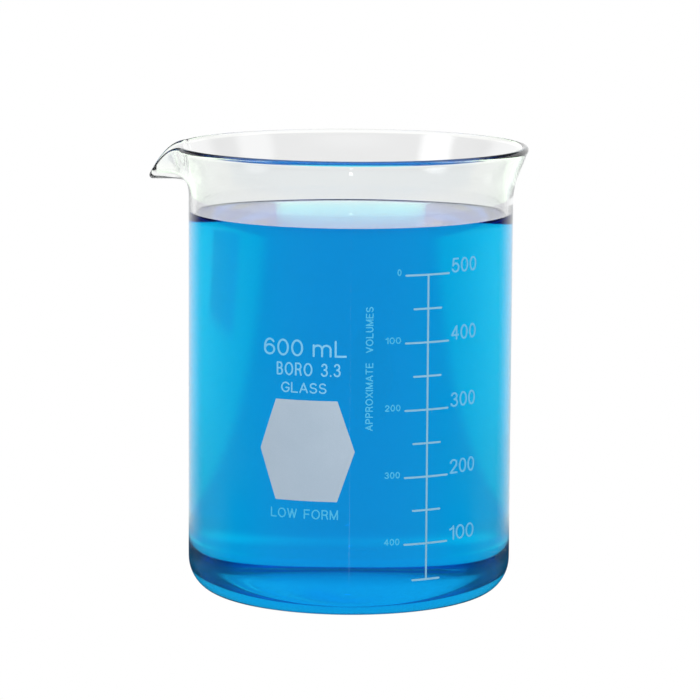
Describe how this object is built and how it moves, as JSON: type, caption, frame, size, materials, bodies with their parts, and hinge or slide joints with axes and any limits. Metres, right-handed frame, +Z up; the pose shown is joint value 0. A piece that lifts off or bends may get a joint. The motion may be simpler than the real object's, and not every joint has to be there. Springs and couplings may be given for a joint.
{
  "type": "beaker",
  "caption": "Low-form glass beaker with a flared rim and side spout, a printed volume scale and a marking spot, part-filled with a blue water solution.",
  "frame": {"origin": "centre of the flat underside, on the vessel's axis", "axes": "+Z up along the vessel's axis; -X towards the spout; -Y towards the printed face"},
  "size_m": [0.1027, 0.096, 0.1219],
  "materials": {
    "glass": "gloss",
    "blue_solution": "gloss",
    "enamel": "satin"
  },
  "bodies": {
    "root": {"glass_vessel": "glass", "blue_solution": "blue_solution", "marking_spot": "enamel", "graduation_scale": "enamel", "rising_500_hundreds": "enamel", "rising_500_tens": "enamel", "rising_500_units": "enamel", "falling_0_units": "enamel", "rising_400_hundreds": "enamel", "rising_400_tens": "enamel", "rising_400_units": "enamel", "falling_100_hundreds": "enamel", "falling_100_tens": "enamel", "falling_100_units": "enamel", "rising_300_hundreds": "enamel", "rising_300_tens": "enamel", "rising_300_units": "enamel", "falling_200_hundreds": "enamel", "falling_200_tens": "enamel", "falling_200_units": "enamel", "rising_200_hundreds": "enamel", "rising_200_tens": "enamel", "rising_200_units": "enamel", "falling_300_hundreds": "enamel", "falling_300_tens": "enamel", "falling_300_units": "enamel", "rising_100_hundreds": "enamel", "rising_100_tens": "enamel", "rising_100_units": "enamel", "falling_400_hundreds": "enamel", "falling_400_tens": "enamel", "falling_400_units": "enamel", "capacity_600_hundreds": "enamel", "capacity_600_tens": "enamel", "capacity_600_units": "enamel", "capacity_letter_m": "enamel", "capacity_letter_l": "enamel"}
  },
  "joints": []
}
